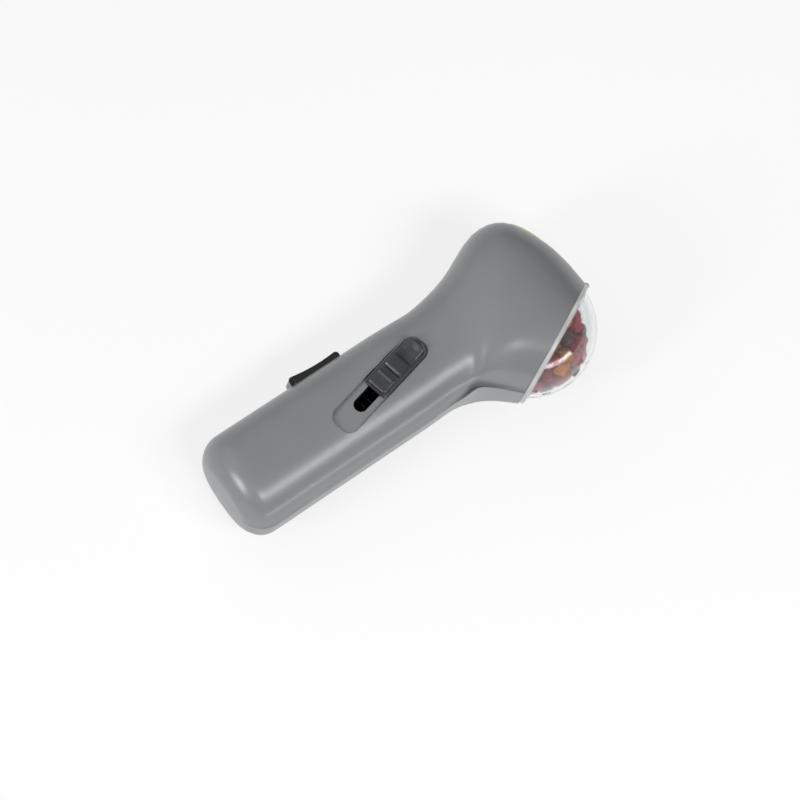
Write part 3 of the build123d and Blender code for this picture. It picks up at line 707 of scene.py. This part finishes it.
# %% The treats as a plain mesh
holder = bpy.data.objects.new("treats_maker", points)
bpy.context.scene.collection.objects.link(holder)
maker = holder.modifiers.new("heap", "NODES")
maker.node_group = group
values = {"Roundness": 1, "Roughening": 0.0011, "Finish": treat_crumb}
for item in group.interface.items_tree:
    if item.item_type == "SOCKET" and item.in_out == "INPUT" and item.name in values:
        maker[item.identifier] = values[item.name]
bpy.context.view_layer.update()
evaluated = holder.evaluated_get(bpy.context.evaluated_depsgraph_get())
treats_mesh = bpy.data.meshes.new_from_object(evaluated)
treats = bpy.data.objects.new("loaded_treats", treats_mesh)
bpy.data.objects.remove(holder)
bpy.context.scene.collection.objects.link(treats)
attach(treats, "root")
print("treat faces:", len(treats_mesh.polygons))

# %% [markdown]
# ## Floor
# The dispenser lies on a plain white table. A floor that is lit only by lamps would be grey in
# its shadows and near white elsewhere. Here a share of what the eye sees of it, straight or in
# gloss or through the dome, is plain white, so the soft shadow stays but is faint.

# %% The floor
table_half = 6.0        # metres, far past the picture
plain_share = 0.72
floor_mesh = bpy.data.meshes.new("floor")
corners = [(-table_half, -table_half, 0), (table_half, -table_half, 0),
           (table_half, table_half, 0), (-table_half, table_half, 0)]
floor_mesh.from_pydata(corners, [], [(0, 1, 2, 3)])
floor = bpy.data.objects.new("floor", floor_mesh)
bpy.context.scene.collection.objects.link(floor)
white_table, tree, place = new_finish("white_table_top")
path = add(tree, "ShaderNodeLightPath")
shown = add(tree, "ShaderNodeMath", {"operation": "ADD"}, i0=path.outputs["Is Camera Ray"],
            i1=path.outputs["Is Glossy Ray"])
shown = add(tree, "ShaderNodeMath", {"operation": "ADD", "use_clamp": True}, i0=shown.outputs[0],
            i1=path.outputs["Is Transmission Ray"])
share = add(tree, "ShaderNodeMath", {"operation": "MULTIPLY"}, i0=shown.outputs[0],
            i1=plain_share)
lit = add(tree, "ShaderNodeBsdfDiffuse", Color=hex_colour("#f4f4f4"))
plain = add(tree, "ShaderNodeEmission", Color=(1, 1, 1, 1), Strength=1.0)
mixed = add(tree, "ShaderNodeMixShader", Fac=share.outputs[0], i1=lit.outputs["BSDF"],
            i2=plain.outputs["Emission"])
add(tree, "ShaderNodeOutputMaterial", Surface=mixed.outputs["Shader"])
floor_mesh.materials.append(white_table)
print("floor:", 2 * table_half, "metres wide")

# %% [markdown]
# ## Lamps
# A highlight on satin plastic is a lamp's soft mirror image, so each lamp stands in the
# direction that its spot of the surface reflects to the camera. One draws the long highlight
# on the handle's near side, one the light in the crease where the handle turns into the head,
# one rounds the butt, and a wide low one draws a window on the dome. One big lamp would be
# simpler, but it would light the whole side of the handle and lose the narrow lines.


# %% The four lamps
def lamp(name, towards_lamp, away, width, height, power):
    """Soft rectangular lamp aimed at the dispenser."""
    data = bpy.data.lights.new(name, "AREA")
    data.shape, data.size, data.size_y, data.energy = "RECTANGLE", width, height, power
    made = bpy.data.objects.new(name, data)
    made.matrix_world = (Matrix.Translation(target + towards_lamp * away)
                         @ towards_lamp.to_track_quat("Z", "Y").to_matrix().to_4x4())
    bpy.context.scene.collection.objects.link(made)


def aim(right_share, up_share, elevation):
    """Direction to a lamp: where it stands round the picture, and how high in degrees."""
    flat = right * right_share + top * up_share
    flat.z = 0
    flat.normalize()
    angle = math.radians(elevation)
    return flat * math.cos(angle) + Vector((0, 0, math.sin(angle)))


lamp("handle_lamp", way(0.26, -0.6, 0.76), away=1.3, width=0.36, height=0.4, power=4.2)
lamp("crease_lamp", way(-0.08, -0.54, 0.84), away=1.3, width=0.38, height=0.28, power=5.0)
lamp("butt_lamp", way(-0.84, 0.08, 0.53), away=1.3, width=0.3, height=0.5, power=6.5)
lamp("window", aim(0.62, -0.79, 4.5), away=1.4, width=1.2, height=0.19, power=4.4)
print("lamps:", len(bpy.data.lights))

# %% [markdown]
# ## The room
# The room is brightest on the far side and above, where it gives the handle's top its even
# grey, and nearly dark on the near side, which keeps the highlights there apart. What the
# camera sees of it, straight or through the dome, is plain white like the table. A lit studio
# could be modelled round the dispenser, but a brightness by direction does the same.

# %% The room's light
brightest_side = way(-0.25, 0.62, 0.745)
brightest, darkest = 0.95, 0.03
room = bpy.data.worlds.new("room")
room.use_nodes = True
tree = room.node_tree
tree.nodes.clear()
path = add(tree, "ShaderNodeLightPath")
seen = add(tree, "ShaderNodeMath", {"operation": "ADD", "use_clamp": True},
           i0=path.outputs["Is Camera Ray"], i1=path.outputs["Is Transmission Ray"])
direction = add(tree, "ShaderNodeTexCoord").outputs["Generated"]
facing = add(tree, "ShaderNodeVectorMath", {"operation": "DOT_PRODUCT"}, i0=direction,
             i1=brightest_side)
facing = add(tree, "ShaderNodeMath", {"operation": "MAXIMUM"}, i0=facing.outputs["Value"], i1=0.0)
glow = add(tree, "ShaderNodeMath", {"operation": "POWER"}, i0=facing.outputs[0], i1=2.0)
wall = add(tree, "ShaderNodeMath", {"operation": "MULTIPLY_ADD"}, i0=glow.outputs[0],
           i1=brightest, i2=darkest)
strength = add(tree, "ShaderNodeMix", Factor=seen.outputs[0], A=wall.outputs[0], B=1.0)
sky = add(tree, "ShaderNodeBackground", Color=(1, 1, 1, 1), Strength=strength.outputs["Result"])
add(tree, "ShaderNodeOutputWorld", Surface=sky.outputs["Background"])
bpy.context.scene.world = room
bpy.context.scene.view_settings.view_transform = "Standard"
print("made", room.name)
